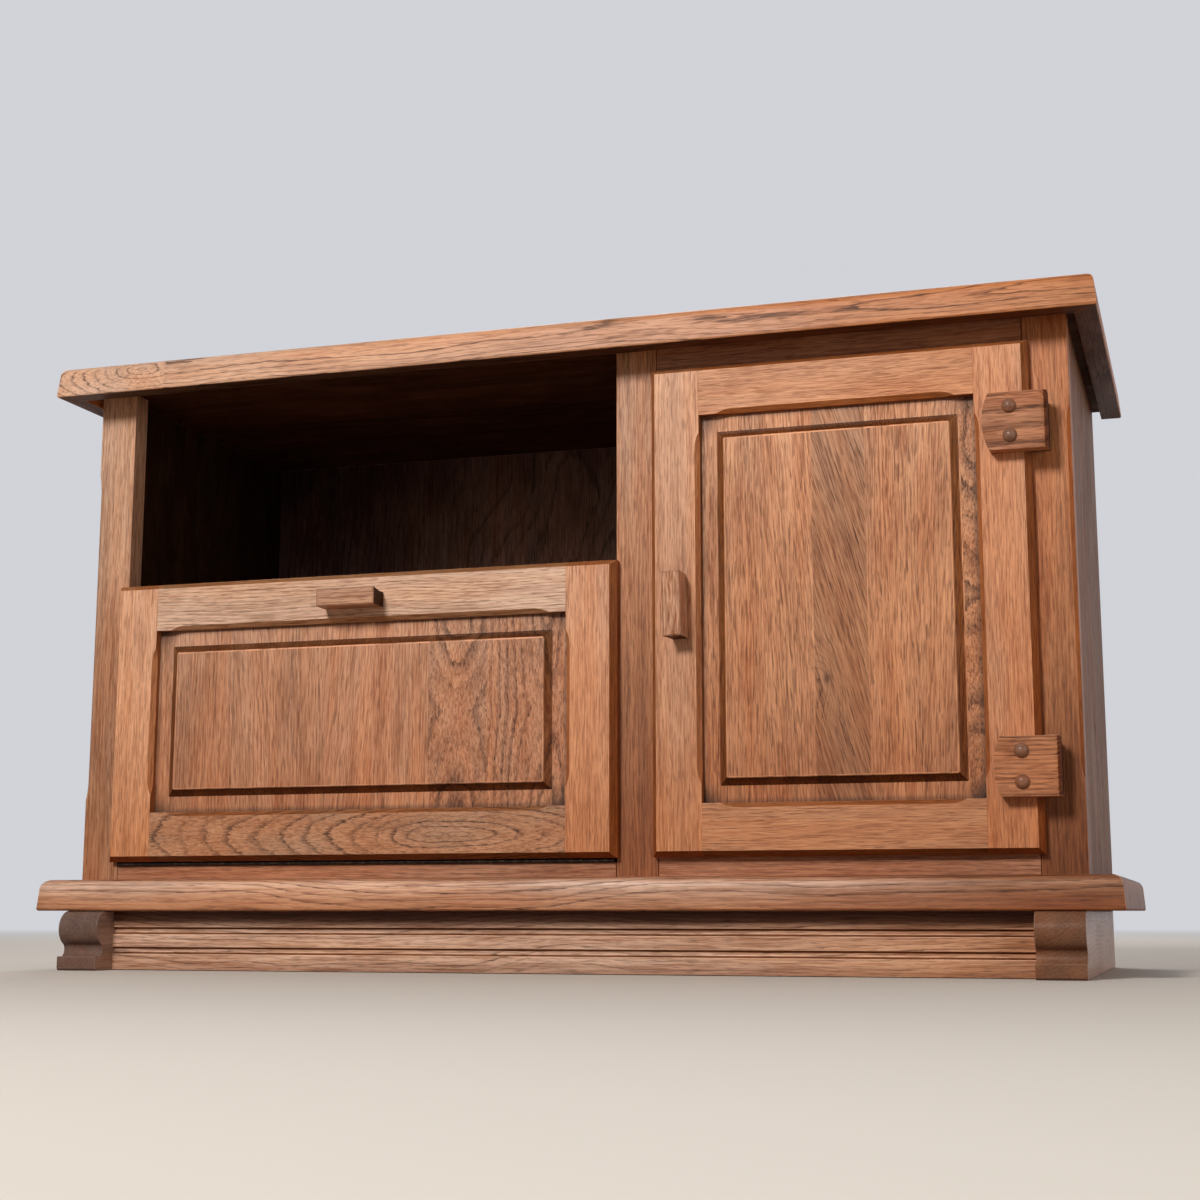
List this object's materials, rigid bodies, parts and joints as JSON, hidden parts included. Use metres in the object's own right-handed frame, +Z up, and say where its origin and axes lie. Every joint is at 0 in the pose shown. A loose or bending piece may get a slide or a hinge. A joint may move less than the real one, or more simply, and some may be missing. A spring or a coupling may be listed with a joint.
{
  "type": "tv cabinet",
  "caption": "Low oak cabinet with an open niche over a drop-down panelled flap, a panelled door on wooden hinge blocks and a moulded plinth.",
  "frame": {"origin": "middle of the footprint on the floor", "axes": "+X to the right seen from the front, +Y to the back, +Z up"},
  "size_m": [1.003, 0.4, 0.585],
  "materials": {
    "oak_solid": "stained oak under satin lacquer",
    "oak_staves": "stained oak staves under satin lacquer",
    "oak_veneer": "stained oak veneer, satin",
    "oak_dark": "dark stained oak, satin",
    "oak_trim": "stained oak, rubbed satin",
    "beech": "bare planed beech",
    "bronzed_steel": "bronzed steel",
    "zinc_steel": "zinc plated",
    "catch_plastic": "brown moulded plastic"
  },
  "bodies": {
    "cabinet": {"back_panel": "oak_veneer", "base_board": "oak_solid", "base_tenons": "beech", "centre_partition": "oak_veneer", "door_catch": "catch_plastic", "door_head_rail": "oak_solid", "door_shelf": "oak_veneer", "door_sill_rail": "oak_solid", "flap_catch": "catch_plastic", "flap_hinge_fixed_leaf": "bronzed_steel", "flap_hinge_pin": "bronzed_steel", "flap_sill_rail": "oak_solid", "left_runner_foot": "oak_dark", "left_side_panel": "oak_veneer", "left_stile": "oak_solid", "lower_hinge_fixed_leaf": "bronzed_steel", "lower_hinge_pin": "bronzed_steel", "middle_stile": "oak_solid", "niche_shelf": "oak_veneer", "plinth_apron": "oak_solid", "plinth_back_rail": "oak_solid", "right_runner_foot": "oak_dark", "right_side_panel": "oak_veneer", "right_stile": "oak_solid", "shelf_battens": "beech", "top_front_lipping": "oak_solid", "top_left_lipping": "oak_solid", "top_panel": "oak_solid", "top_right_lipping": "oak_solid", "top_tenons": "beech", "upper_hinge_fixed_leaf": "bronzed_steel", "upper_hinge_pin": "bronzed_steel"},
    "flap": {"flap_bottom_rail": "oak_solid", "flap_hinge_moving_leaf": "bronzed_steel", "flap_left_stile": "oak_solid", "flap_panel": "oak_staves", "flap_pull": "oak_trim", "flap_right_stile": "oak_solid", "flap_strike_plate": "zinc_steel", "flap_top_rail": "oak_solid"},
    "door": {"door_bottom_rail": "oak_solid", "door_left_stile": "oak_solid", "door_panel": "oak_staves", "door_pull": "oak_trim", "door_right_stile": "oak_solid", "door_strike_plate": "zinc_steel", "door_top_rail": "oak_solid", "hinge_studs": "oak_trim", "lower_hinge_block": "oak_trim", "lower_hinge_door_leaf": "bronzed_steel", "upper_hinge_block": "oak_trim", "upper_hinge_door_leaf": "bronzed_steel"}
  },
  "joints": [
    {"name": "flap_drop", "type": "hinge", "parent": "cabinet", "child": "flap", "pos_m": [-0.184, -0.1622, 0.0989], "axis": [1, 0, 0], "range_deg": [0, 97]},
    {"name": "door_swing", "type": "hinge", "parent": "cabinet", "child": "door", "pos_m": [0.4518, -0.167, 0.32], "axis": [0, 0, 1], "range_deg": [0, 100]}
  ]
}
